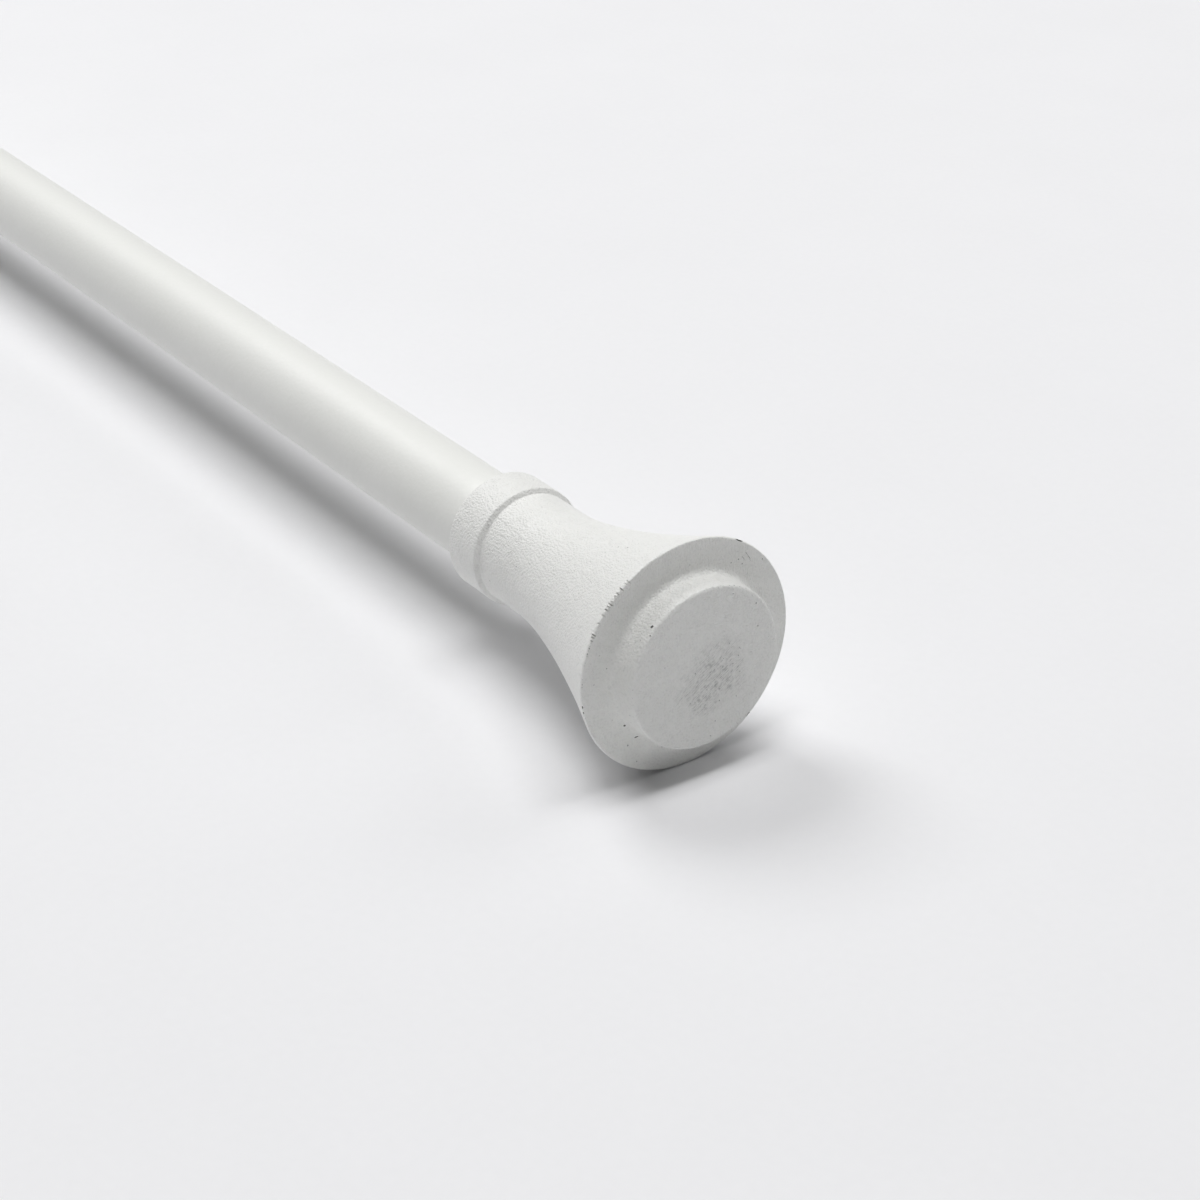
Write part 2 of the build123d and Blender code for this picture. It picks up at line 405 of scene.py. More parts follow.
def node_group(name, inputs, outputs):
    """A shader node group with named sockets, what is given to it and where its results go."""
    group = bpy.data.node_groups.new(name, "ShaderNodeTree")
    kinds = {"value": "NodeSocketFloat", "vector": "NodeSocketVector", "colour": "NodeSocketColor"}
    for socket, (kind, default) in inputs.items():
        made = group.interface.new_socket(name=socket, in_out="INPUT", socket_type=kinds[kind])
        if default is not None:
            made.default_value = default
    for socket, kind in outputs.items():
        group.interface.new_socket(name=socket, in_out="OUTPUT", socket_type=kinds[kind])
    given, result = group.nodes.new("NodeGroupInput"), group.nodes.new("NodeGroupOutput")
    return group, given.outputs, result.inputs


def math_node(tree, operation, *values):
    """A Math node whose inputs are numbers or the sockets that feed them."""
    node = tree.nodes.new("ShaderNodeMath")
    node.operation = operation
    feed(tree, node, *values)
    return node.outputs[0]


def product(tree, first, second):
    """The product of two values."""
    return math_node(tree, "MULTIPLY", first, second)


def vector_node(tree, operation, *values):
    """A Vector Math node whose inputs are vectors or the sockets that feed them."""
    node = tree.nodes.new("ShaderNodeVectorMath")
    node.operation = operation
    feed(tree, node, *values)
    return node.outputs["Value"] if operation == "LENGTH" else node.outputs["Vector"]


def feed(tree, node, *values):
    """Sets a node's first inputs, or links them."""
    for place, value in enumerate(values):
        if isinstance(value, bpy.types.NodeSocket):
            tree.links.new(value, node.inputs[place])
        else:
            node.inputs[place].default_value = value


def map_range(tree, value, low, high, to_low=0.0, to_high=1.0):
    """Maps a value from one range to another, clamped."""
    node = tree.nodes.new("ShaderNodeMapRange")
    feed(tree, node, value, low, high, to_low, to_high)
    return node.outputs["Result"]


def mix_colour(tree, factor, first, second):
    """Mixes two colours by a factor."""
    node = tree.nodes.new("ShaderNodeMix")
    node.data_type = "RGBA"
    for socket, value in ((node.inputs[0], factor), (node.inputs[6], first), (node.inputs[7], second)):
        if isinstance(value, bpy.types.NodeSocket):
            tree.links.new(value, socket)
        else:
            socket.default_value = value
    return node.outputs[2]


def noise(tree, vector, scale, detail=2.0, roughness=0.5):
    """A three-dimensional noise."""
    node = tree.nodes.new("ShaderNodeTexNoise")
    tree.links.new(vector, node.inputs["Vector"])
    for socket, value in (("Scale", scale), ("Detail", detail), ("Roughness", roughness)):
        if isinstance(value, bpy.types.NodeSocket):
            tree.links.new(value, node.inputs[socket])
        else:
            node.inputs[socket].default_value = value
    return node.outputs["Fac"]


def per_metre(size):
    """The texture scale whose cells have a size."""
    return 1.0 / size


def make_cast_grain():
    """Sand-cast grain under paint: fine rounded grains over slower waves."""
    group, given, result = node_group(
        "cast_grain",
        {"Vector": ("vector", None), "Grain Scale": ("value", per_metre(0.42 * MM)),
         "Wave Scale": ("value", per_metre(1.6 * MM)), "Wave Share": ("value", 0.45)},
        {"Height": "value"},
    )
    grain = noise(group, given["Vector"], given["Grain Scale"], 1.2, 0.5)
    wave = noise(group, given["Vector"], given["Wave Scale"], 2.0, 0.5)
    shared = product(group, wave, given["Wave Share"])
    group.links.new(math_node(group, "ADD", grain, shared), result["Height"])
    return group


# Share of the patches in a coat's tone, the rest being flecks, and where thin paint begins and ends
PATCH_SHARE = 0.6
THIN_EDGES = (0.36, 0.66)


def make_paint_tone():
    """Slow patches where a coat of paint is thinner."""
    group, given, result = node_group(
        "paint_tone",
        {"Vector": ("vector", None), "Paint": ("colour", (0.88, 0.88, 0.86, 1)),
         "Thin Paint": ("colour", (0.84, 0.84, 0.82, 1)), "Patch Scale": ("value", per_metre(9 * MM)),
         "Fleck Scale": ("value", per_metre(0.6 * MM))},
        {"Color": "colour", "Patches": "value"},
    )
    patches = noise(group, given["Vector"], given["Patch Scale"], 3.0, 0.55)
    flecks = noise(group, given["Vector"], given["Fleck Scale"], 1.0, 0.5)
    both = math_node(group, "ADD", product(group, patches, PATCH_SHARE),
                     product(group, flecks, 1 - PATCH_SHARE))
    thin = map_range(group, both, *THIN_EDGES)
    group.links.new(mix_colour(group, thin, given["Paint"], given["Thin Paint"]), result["Color"])
    group.links.new(thin, result["Patches"])
    return group


# The smallest speck as a share of the largest, and the share of a speck that is fully dark
SMALLEST_SPECK = 0.5
SPECK_CORE = 0.6


def make_specks():
    """Fine scattered specks: dust nibs and pinholes in the paint."""
    group, given, result = node_group(
        "specks",
        {"Vector": ("vector", None), "Cell Scale": ("value", per_metre(2.4 * MM)),
         "Share": ("value", 0.12), "Size": ("value", 0.09)},
        {"Mask": "value"},
    )
    cells = group.nodes.new("ShaderNodeTexVoronoi")
    group.links.new(given["Vector"], cells.inputs["Vector"])
    group.links.new(given["Cell Scale"], cells.inputs["Scale"])
    chance = group.nodes.new("ShaderNodeSeparateColor")
    group.links.new(cells.outputs["Color"], chance.inputs[0])
    picked = math_node(group, "LESS_THAN", chance.outputs["Red"], given["Share"])
    share = map_range(group, chance.outputs["Green"], 0.0, 1.0, SMALLEST_SPECK, 1.0)
    reach = product(group, given["Size"], share)
    distance = math_node(group, "DIVIDE", cells.outputs["Distance"], reach)
    near = map_range(group, distance, SPECK_CORE, 1.0, 1.0, 0.0)
    group.links.new(product(group, picked, near), result["Mask"])
    return group


# How far a scuff's lines and its patch are squeezed, and what breaks its lines up and its outline
LINE_SQUEEZE, PATCH_SQUEEZE = 0.11, 0.8
BREAK_SIZE, WOBBLE_SIZE = 0.8 * MM, 5 * MM
# Noise levels between which a line and a break begin, and shares of the patch's radius and of its
# reach off the face over which it fades
LINE_EDGES, BREAK_EDGES = (0.44, 0.66), (0.34, 0.62)
PATCH_FADE, REACH_FADE = (0.75, 1.4), (0.5, 1.0)


def make_sanding_scuff():
    """A patch of fine parallel sanding lines on a face that looks along the rod's axis."""
    group, given, result = node_group(
        "sanding_scuff",
        {"Vector": ("vector", None), "Centre": ("vector", None), "Angle": ("value", 0.0),
         "Radius": ("value", 7 * MM), "Line Scale": ("value", per_metre(0.3 * MM)),
         "Reach": ("value", 1.5 * MM)},
        {"Lines": "value"},
    )
    offset = vector_node(group, "SUBTRACT", given["Vector"], given["Centre"])
    turn = group.nodes.new("ShaderNodeVectorRotate")
    turn.rotation_type = "X_AXIS"
    group.links.new(offset, turn.inputs["Vector"])
    group.links.new(product(group, given["Angle"], -1.0), turn.inputs["Angle"])
    parts = group.nodes.new("ShaderNodeSeparateXYZ")
    group.links.new(turn.outputs["Vector"], parts.inputs[0])
    streaks = noise(group, drawn_out(group, parts, LINE_SQUEEZE), given["Line Scale"], 2.0, 0.6)
    breaks = noise(group, offset, per_metre(BREAK_SIZE), 2.0, 0.6)
    broken = product(group, map_range(group, streaks, *LINE_EDGES), map_range(group, breaks, *BREAK_EDGES))
    wobble = product(group, noise(group, offset, per_metre(WOBBLE_SIZE), 2.0, 0.5), given["Radius"])
    from_centre = vector_node(group, "LENGTH", drawn_out(group, parts, PATCH_SQUEEZE))
    spread = math_node(group, "ADD", from_centre, wobble)
    inside = math_node(group, "DIVIDE", spread, given["Radius"])
    patch = map_range(group, inside, *PATCH_FADE, 1.0, 0.0)
    off_face = math_node(group, "ABSOLUTE", parts.outputs["X"])
    depth = math_node(group, "DIVIDE", off_face, given["Reach"])
    facing = map_range(group, depth, *REACH_FADE, 1.0, 0.0)
    shown = product(group, patch, facing)
    group.links.new(product(group, shown, broken), result["Lines"])
    return group


def drawn_out(group, parts, squeeze):
    """A scuff's own coordinates on its face, squeezed so that a pattern is drawn out along its lines."""
    joined = group.nodes.new("ShaderNodeCombineXYZ")
    group.links.new(product(group, parts.outputs["Y"], squeeze), joined.inputs["X"])
    group.links.new(parts.outputs["Z"], joined.inputs["Y"])
    return joined.outputs[0]


# How far drawn lines are squeezed along the rod, and the noise levels between which a stain begins
DRAWN_SQUEEZE = 0.02
STAIN_EDGES = (0.35, 0.7)


def make_drawn_metal():
    """Fine lines along the rod, as drawn or rolled metal has them."""
    group, given, result = node_group(
        "drawn_metal",
        {"Vector": ("vector", None), "Line Scale": ("value", per_metre(0.25 * MM)),
         "Stain Scale": ("value", per_metre(6 * MM))},
        {"Lines": "value", "Stains": "value"},
    )
    squeezed = vector_node(group, "MULTIPLY", given["Vector"], (DRAWN_SQUEEZE, 1.0, 1.0))
    group.links.new(noise(group, squeezed, given["Line Scale"], 2.0, 0.6), result["Lines"])
    stains = noise(group, given["Vector"], given["Stain Scale"], 4.0, 0.6)
    group.links.new(map_range(group, stains, *STAIN_EDGES), result["Stains"])
    return group


def opaque(rgb):
    """A colour with full alpha."""
    return (*rgb, 1.0)


def dimmed(rgb, share):
    """A darker colour with full alpha."""
    return opaque(channel * share for channel in rgb)


GROUP_MAKERS = {"cast_grain": make_cast_grain, "paint_tone": make_paint_tone, "specks": make_specks,
                "sanding_scuff": make_sanding_scuff, "drawn_metal": make_drawn_metal}


class Finish:
    """One material: a Principled shader, its object coordinates and the effects that feed it."""

    def __init__(self, name, roughness, metallic=0.0, specular=0.5):
        self.material = bpy.data.materials.new(name)
        self.material.use_nodes = True
        self.tree = self.material.node_tree
        self.tree.nodes.clear()
        self.shader = self.tree.nodes.new("ShaderNodeBsdfPrincipled")
        output = self.tree.nodes.new("ShaderNodeOutputMaterial")
        self.tree.links.new(self.shader.outputs["BSDF"], output.inputs["Surface"])
        self.shader.inputs["Roughness"].default_value = roughness
        self.shader.inputs["Metallic"].default_value = metallic
        self.shader.inputs["Specular IOR Level"].default_value = specular
        self.place = self.tree.nodes.new("ShaderNodeTexCoord").outputs["Object"]

    def group(self, name, **values):
        """Places a shared node group with its own values; an underscore in a name is a space."""
        node = self.tree.nodes.new("ShaderNodeGroup")
        node.node_tree = bpy.data.node_groups.get(name) or GROUP_MAKERS[name]()
        self.tree.links.new(self.place, node.inputs["Vector"])
        for socket, value in values.items():
            node.inputs[socket.replace("_", " ")].default_value = value
        return node.outputs

    def tone(self, paint, thin_paint, patch=9 * MM, fleck=0.6 * MM):
        """Feeds a colour that is thinner in patches and flecks, and returns the mask of the thin ones."""
        tone = self.group("paint_tone", Paint=paint, Thin_Paint=thin_paint,
                          Patch_Scale=per_metre(patch), Fleck_Scale=per_metre(fleck))
        self.feed("Base Color", tone["Color"])
        return tone["Patches"]

    def feed(self, socket, value):
        """Links a value to one of the shader's inputs."""
        self.tree.links.new(value, self.shader.inputs[socket])

    def feed_roughness(self, mask, low, high):
        """Lets the roughness vary with a mask."""
        self.feed("Roughness", map_range(self.tree, mask, 0.0, 1.0, low, high))

    def feed_bump(self, height, distance):
        """Raises the surface by a height whose unit is a distance in metres."""
        node = self.tree.nodes.new("ShaderNodeBump")
        node.inputs["Distance"].default_value = distance
        self.tree.links.new(height, node.inputs["Height"])
        self.feed("Normal", node.outputs["Normal"])

    def stain(self, strength, stain):
        """Stains the colour that feeds the shader as strongly as a mask says."""
        colour = self.shader.inputs["Base Color"].links[0].from_socket
        self.feed("Base Color", mix_colour(self.tree, strength, colour, opaque(stain)))


# Materials

# Share of the pore's grey as painted shade in the casting's hollows, and as colour in its scuff's lines and
# specks
HOLLOW_PAINTED_SHADE, SCUFF_GREY, SPECK_GREY, TUBE_SPECK_GREY = 0.1, 0.85, 0.45, 0.35
# Grain height below which a hollow is greyed as painted shade, and above which it isn't
HOLLOW_FLOOR, HOLLOW_BRIM = 0.48, 0.72
# How deep the scuff's lines and the specks are, as shares of the grain's height
SCUFF_DEPTH, SPECK_DEPTH = 0.4, 0.5
CAST_GRAIN_HEIGHT = 0.27 * MM
TUBE_PEEL_HEIGHT = 0.045 * MM
CHIP_GRAIN_HEIGHT = 0.04 * MM
NYLON_SPARK_HEIGHT = 0.012 * MM


def casting_paint(name, scuff_centre, scuff_angle, scuff_radius):
    """Matt white paint over a sand-cast surface, with a sanding scuff on the disc."""
    look = bpy.context.scene.rod_look
    paint = Finish(name, roughness=0.38)
    patches = paint.tone(opaque(look.cast_paint), opaque(look.cast_paint_shade))
    paint.feed_roughness(patches, 0.34, 0.44)
    grain = paint.group("cast_grain")["Height"]
    specks = paint.group("specks")["Mask"]
    scuff = paint.group("sanding_scuff", Centre=scuff_centre, Angle=scuff_angle, Radius=scuff_radius,
                        Line_Scale=per_metre(0.21 * MM))["Lines"]
    # Painted shade: the grain's hollows are greyed a little, standing in for the shade that falls in them
    paint.stain(map_range(paint.tree, grain, HOLLOW_FLOOR, HOLLOW_BRIM, HOLLOW_PAINTED_SHADE, 0.0), look.pore)
    paint.stain(product(paint.tree, scuff, SCUFF_GREY), look.pore)
    paint.stain(product(paint.tree, specks, SPECK_GREY), look.pore)
    pitted = math_node(paint.tree, "SUBTRACT", grain, product(paint.tree, specks, SPECK_DEPTH))
    worn = math_node(paint.tree, "SUBTRACT", pitted, product(paint.tree, scuff, SCUFF_DEPTH))
    paint.feed_bump(worn, CAST_GRAIN_HEIGHT)
    return paint.material


def tube_paint():
    """Satin white paint on a smooth steel tube."""
    look = bpy.context.scene.rod_look
    paint = Finish("tube_satin_paint", roughness=0.42, specular=0.4)
    patches = paint.tone(opaque(look.tube_paint), opaque(look.tube_paint_shade), 30 * MM, 1.2 * MM)
    paint.feed_roughness(patches, 0.38, 0.48)
    specks = paint.group("specks", Cell_Scale=per_metre(7 * MM), Share=0.06, Size=0.03)["Mask"]
    paint.stain(product(paint.tree, specks, TUBE_SPECK_GREY), look.pore)
    peel = paint.group("cast_grain", Grain_Scale=per_metre(0.9 * MM), Wave_Scale=per_metre(4 * MM),
                       Wave_Share=0.8)["Height"]
    paint.feed_bump(peel, TUBE_PEEL_HEIGHT)
    return paint.material


def bare_metal(name, rgb, roughness, line_height, line_width):
    """Unpainted metal with drawn lines and dull stains."""
    metal = Finish(name, roughness=roughness, metallic=1.0)
    worked = metal.group("drawn_metal", Line_Scale=per_metre(line_width))
    metal.feed("Base Color", mix_colour(metal.tree, worked["Stains"], opaque(rgb), dimmed(rgb, 0.6)))
    metal.feed_roughness(worked["Stains"], roughness, roughness + 0.2)
    metal.feed_bump(worked["Lines"], line_height)
    return metal.material


def tube_steel():
    """Bare drawn steel inside the tubes and on their cut ends."""
    look = bpy.context.scene.rod_look
    return bare_metal("bare_tube_steel", look.steel, 0.4, 0.02 * MM, 0.25 * MM)


def socket_zinc():
    """Bare zinc alloy in the finials' sockets."""
    look = bpy.context.scene.rod_look
    return bare_metal("bare_zinc_casting", look.zinc, 0.5, 0.03 * MM, 0.6 * MM)


def screw_plating():
    """Zinc plating on the grub screws."""
    look = bpy.context.scene.rod_look
    return bare_metal("zinc_plated_screw", look.screw, 0.3, 0.008 * MM, 0.2 * MM)


def chipped_metal():
    """Dark casting at the bottom of a chip in the paint."""
    look = bpy.context.scene.rod_look
    chip = Finish("chip_in_paint", roughness=0.8, specular=0.2)
    chip.tone(opaque(look.chip), opaque(look.pore), 0.8 * MM, 0.2 * MM)
    grain = chip.group("cast_grain", Grain_Scale=per_metre(0.15 * MM))["Height"]
    chip.feed_bump(grain, CHIP_GRAIN_HEIGHT)
    return chip.material


def shaded_pore_paint():
    """Paint in a casting pore or scratch, mottled grey as painted shade in the hollow."""
    look = bpy.context.scene.rod_look
    pore = Finish("paint_shaded_in_pore", roughness=0.75, specular=0.25)
    pore.tone(opaque(look.cast_paint_shade), opaque(look.pore), 0.9 * MM, 0.3 * MM)
    pore.feed_bump(pore.group("cast_grain")["Height"], CHIP_GRAIN_HEIGHT)
    return pore.material


def moulded_nylon():
    """White nylon with a fine moulded texture."""
    look = bpy.context.scene.rod_look
    nylon = Finish("moulded_white_nylon", roughness=0.5, specular=0.4)
    nylon.shader.inputs["Subsurface Weight"].default_value = 0.15
    nylon.shader.inputs["Subsurface Scale"].default_value = 0.6 * MM
    patches = nylon.tone(opaque(look.nylon), dimmed(look.nylon, 0.95))
    nylon.feed_roughness(patches, 0.44, 0.56)
    spark = nylon.group("cast_grain", Grain_Scale=per_metre(0.22 * MM))["Height"]
    nylon.feed_bump(spark, NYLON_SPARK_HEIGHT)
    return nylon.material


def floor_paper():
    """Pale matt paper under the rod."""
    look = bpy.context.scene.rod_stage
    paper = Finish("pale_floor", roughness=0.9, specular=0.1)
    paper.tone(opaque(look.floor_colour), dimmed(look.floor_colour, 0.985), 45 * MM, 2 * MM)
    return paper.material


# Marks on the castings. A mark's place is its clock angle in degrees with a radius or a distance
# from the collar's mouth in millimetres, and its last number is its width in millimetres.
DISC_PITS = ((56, 6.2, 0.36), (-59, 9.5, 0.3), (-71, 9.7, 0.26), (-95, 2.4, 0.34), (99, 6.1, 0.32),
             (102, 4.9, 0.24), (112, 8.3, 0.3), (119, 7.8, 0.26), (132, 10.2, 0.28), (-170, 14.2, 0.34),
             (-108, 14.5, 0.28), (23, 14.6, 0.34), (48, 14.8, 0.36))
BAND_PITS = ((-80, 17.9, 0.3), (-116, 18.2, 0.32), (-138, 19.4, 0.44), (1, 18.3, 0.3), (31, 18.6, 0.32),
             (35, 19.7, 0.34), (39, 19.3, 0.34), (49, 22.2, 0.3), (62, 20.2, 0.26), (-88, 20.4, 0.24),
             (-72, 20.2, 0.26))
SIDE_PITS = ((-22, 44.6, 0.3), (-14, 48.7, 0.42), (-13, 47.6, 0.3), (-15, 46.0, 0.34), (-3, 15.4, 0.3),
             (-68, 21.7, 0.32), (-101, 13.0, 0.4), (-77, 48.7, 0.3), (-15, 10.6, 0.22), (-17, 10.75, 0.28),
             (-19, 10.85, 0.24), (-30, 0.5, 0.4), (-34, 0.3, 0.34), (-26, 0.3, 0.3), (-22, 0.2, 0.24),
             (-110, 64.6, 0.3), (-120, 63.4, 0.28))
EDGE_PITS = ((-49.5, 66.4, 0.4), (18, 66.6, 0.36), (22, 66.5, 0.3), (27, 66.6, 0.4), (33, 66.5, 0.34),
             (13, 66.6, 0.3), (-30, 66.6, 0.26), (-20, 66.6, 0.22), (-87, 66.6, 0.28), (-93, 66.6, 0.24))
# A pit in the rim's corner has only a clock angle and a width
RIM_PITS = ((-66.2, 0.3), (-67.6, 0.2), (-68.7, 0.42), (-69.8, 0.26), (-71.4, 0.36), (-72.4, 0.22),
            (-75.6, 0.2), (-83.6, 0.2), (-86.2, 0.3), (-87.4, 0.22), (-91.8, 0.18), (-104, 0.2),
            (-118, 0.22))
CORNER_PIT_DEPTH = 0.1 * MM
# Scattered pits: their number, their widths in millimetres, the shares of them in the disc's and in
# the rim's face, and how much of the disc's face they cover, from its middle out
SCATTERED_PITS = 46
SCATTERED_WIDTHS = (0.18, 0.36)
DISC_SHARE, BAND_SHARE = 0.25, 0.2
DISC_COVER = (0.01, 0.85)
# Chips that show the dark casting: clock angle, distance, radius, width, length, slant in degrees
DARK_CHIPS = ((-44, 65.6, 16.3, 0.56, 0.85, 60), (-140, 61.08, 17.25, 0.28, 1.05, 52),
              (-125.4, 61.2, 17.0, 0.38, 0.44, 0), (29.9, 60.8, 22.95, 0.46, 1.8, 0),
              (-98, 60.8, 23.0, 0.34, 0.55, 0), (-101, 60.8, 23.0, 0.32, 0.42, 0),
              (140, 60.95, 22.8, 0.44, 1.1, 0))
# How far round the second casting its chips lie from the first one's
SECOND_CHIPS_TURN = 75
# Scratches in the rim's face, listed like the chips
SCRATCHES = ((39.5, 61.0, 21.1, 0.14, 2.5, -17), (38, 61.0, 20.25, 0.13, 1.8, -17),
             (43, 61.0, 20.6, 0.12, 1.2, -20))
# Ragged stretch of the rim's edge: the clock angles of its ends, how many notches it has room for,
# the share of them that is left out, and how far a notch strays from its place, as a share of one
RAGGED_START, RAGGED_END, NOTCH_COUNT = -33, -68, 25
NOTCHES_LEFT_OUT = 0.3
NOTCH_STRAY = (-0.1, 0.1)
# A notch's size in millimetres across and along the rim, its slant, how far it lies behind the rim's
# face, and how far outside the rim its middle is, as a share of its width
NOTCH_WIDTHS, NOTCH_LENGTHS, NOTCH_SLANTS = (0.8, 1.6), (0.2, 0.34), (-8, 8)
NOTCH_SETBACK = 0.28 * MM
NOTCH_LIFT = 0.08
# How high a pit's pebble stands out of the surface, as a share of its radius, how much larger than
# its mark a pebble is, and how uneven it is, as a share of its width
PIT_LIFT = 0.35
PEBBLE_SWELL = 1.08
PEBBLE_UNEVENNESS = 0.09
# Ahead, out of the disc, and half ahead and half outwards, out of a corner
AHEAD = Vector((1, 0, 0))
CORNER_DIRECTION = Vector((0.7, 0.7))
# How far the paint reaches into a socket's mouth, how far round a socket its bare metal is looked
# for, and the faces around the cutter of a grub screw's hole
PAINT_IN_MOUTH = 0.5 * MM
SOCKET_MARGIN = 0.05 * MM
HOLE_FACES = 48
# The flare is one smooth curve, as in the construction model: how far each end keeps its direction,
# as a share of its length, and its slope there
FLARE_START_HOLD, FLARE_START_SLOPE = 0.26, 0.024
FLARE_END_HOLD, FLARE_END_SLOPE = 0.29, 0.42
FLARE_STEPS = 96
# The inside of the rim's corner is a little sharper than its outside
RIM_FACE_ROUND = 0.9


def finial_outline(sizes):
    """The casting's outline from the middle of its socket's floor to the middle of its disc."""
    flare_end = sizes.rim_distance - sizes.rim_land
    flare_length = flare_end - sizes.flare_start
    neck = Vector((sizes.flare_start, sizes.neck_radius))
    rim = Vector((flare_end, sizes.rim_radius))
    leaving = Vector((1, FLARE_START_SLOPE)) * flare_length * FLARE_START_HOLD
    arriving = Vector((1, FLARE_END_SLOPE)) * flare_length * FLARE_END_HOLD
    inside = rounded([
        (sizes.socket_depth, 0, 0),
        (sizes.socket_depth, sizes.socket_radius, sizes.socket_round),
        (0, sizes.socket_radius, sizes.socket_round),
        (0, sizes.collar_radius - sizes.collar_round, 0),
    ])
    collar = rounded([
        (0, sizes.socket_radius + sizes.socket_round, 0),
        (0, sizes.collar_radius, sizes.collar_round),
        (sizes.collar_length, sizes.collar_radius, sizes.collar_round),
        (sizes.collar_length + sizes.step_length, sizes.neck_radius, sizes.step_foot_round),
        (*neck, 0),
    ])
    flare = bezier(neck, neck + leaving, rim - arriving, rim, FLARE_STEPS)
    end = rounded([
        (*flare[-2], 0),
        (*rim, sizes.rim_round),
        (sizes.rim_distance, sizes.rim_radius, sizes.rim_round * RIM_FACE_ROUND),
        (sizes.rim_distance, sizes.disc_radius, sizes.disc_foot_round),
        (sizes.rim_distance + sizes.disc_height, sizes.disc_radius, sizes.disc_edge_round),
        (sizes.rim_distance + sizes.disc_height, 0, 0),
    ])
    return spaced(inside[:-1], PLAIN_SPACING) + spaced(collar[1:] + flare[:-2] + end, CAST_SPACING)


def side_at(outline, x):
    """The radius and the outward direction of a casting's side at a distance from its mouth.

    The search starts at the collar's step, so a place on the collar gets the step's radius.
    """
    side = outline[len(outline) // 5:]
    start, end = min(zip(side, side[1:]), key=lambda ends: abs((ends[0].x + ends[1].x) / 2 - x))
    run = (end - start).normalized()
    return (start.y + end.y) / 2, Vector((-run.y, run.x))


def place_on(clock, x, radius):
    """The point at a clock angle, a distance along the axis and a radius."""
    angle = math.radians(clock)
    return Vector((x, radius * math.sin(angle), radius * math.cos(angle)))


def pebble(place, width, long, slant, chance, material):
    """A small uneven pebble that presses a pit, a chip or a notch."""
    stone = start_from(bpy.ops.mesh.primitive_ico_sphere_add, subdivisions=2, location=place,
                       radius=width / 2 * PEBBLE_SWELL)
    edit_all(stone)
    bpy.ops.transform.vertex_random(offset=width * PEBBLE_UNEVENNESS, seed=chance.randint(1, 9999))
    leave_edit()
    stone.data.materials.append(material)
    if long != width:
        stone.scale = (1, long / width, 1)
        stone.rotation_euler = (math.radians(slant), 0, 0)
    set_origin(stone)
    return stone


def join(stones, name):
    """Joins small shapes into one tool."""
    make_active(stones[0])
    for stone in stones[1:]:
        stone.select_set(True)
    bpy.ops.object.join()
    stones[0].name = name
    return stones[0]


def listed_places(outline, sizes):
    """Where the marks of the casting in view lie: point, outward direction, width."""
    face_x = sizes.rim_distance + sizes.disc_height
    places = [(place_on(clock, face_x, radius * MM), AHEAD, width) for clock, radius, width in DISC_PITS]
    places += [(place_on(clock, sizes.rim_distance, radius * MM), AHEAD, width)
               for clock, radius, width in BAND_PITS]
    for clock, x, width in SIDE_PITS:
        on_disc = x * MM > sizes.rim_distance
        radius, outward = (sizes.disc_radius, Vector((0, 1))) if on_disc else side_at(outline, x * MM)
        places.append((place_on(clock, x * MM, radius), lean(clock, outward), width))
    corners = [(clock, x * MM, sizes.disc_radius - CORNER_PIT_DEPTH, width) for clock, x, width in EDGE_PITS]
    corners += [(clock, sizes.rim_distance - CORNER_PIT_DEPTH, sizes.rim_radius - CORNER_PIT_DEPTH, width)
                for clock, width in RIM_PITS]
    places += [(place_on(clock, x, radius), lean(clock, CORNER_DIRECTION), width)
               for clock, x, radius, width in corners]
    return places


def lean(clock, outward):
    """Turns an outward direction in the outline's plane to a clock angle."""
    return place_on(clock, outward.x, outward.y)


def scattered_places(outline, sizes, chance, clocks):
    """Pits that lie anywhere on a casting within a span of clock angles."""
    places = []
    for _ in range(SCATTERED_PITS):
        clock = chance.uniform(*clocks)
        width = chance.uniform(*SCATTERED_WIDTHS)
        kind = chance.random()
        if kind < DISC_SHARE:
            radius = sizes.disc_radius * math.sqrt(chance.uniform(*DISC_COVER))
            x, outward = sizes.rim_distance + sizes.disc_height, AHEAD
        elif kind < DISC_SHARE + BAND_SHARE:
            radius = chance.uniform(sizes.disc_radius + sizes.disc_foot_round, sizes.rim_radius - MM)
            x, outward = sizes.rim_distance, AHEAD
        else:
            x = chance.uniform(MM, sizes.rim_distance - 2 * MM)
            radius, side = side_at(outline, x)
            outward = lean(clock, side)
        places.append((place_on(clock, x, radius), outward, width))
    return places


def pit_stones(places, chance, material):
    """One pebble for each pit."""
    return [pebble(place + outward * (width * MM) / 2 * PIT_LIFT, width * MM, width * MM, 0, chance, material)
            for place, outward, width in places]


def chip_stones(chips, chance, material):
    """A pebble for each chip or scratch, drawn out along the surface."""
    return [pebble(place_on(clock, x * MM, radius * MM), width * MM, long * MM, slant - clock, chance,
                   material)
            for clock, x, radius, width, long, slant in chips]


def notch_stones(sizes, chance, material):
    """Ragged notches along one stretch of the rim's painted edge."""
    stones = []
    for count in range(NOTCH_COUNT):
        if chance.random() < NOTCHES_LEFT_OUT:
            continue
        place = count + chance.uniform(*NOTCH_STRAY)
        clock = RAGGED_START + (RAGGED_END - RAGGED_START) * place / NOTCH_COUNT
        width = chance.uniform(*NOTCH_WIDTHS) * MM
        long = chance.uniform(*NOTCH_LENGTHS) * MM
        slant = chance.uniform(*NOTCH_SLANTS) - clock
        middle = place_on(clock, sizes.rim_distance - NOTCH_SETBACK, sizes.rim_radius + width * NOTCH_LIFT)
        stones.append(pebble(middle, width, long, slant, chance, material))
    return stones


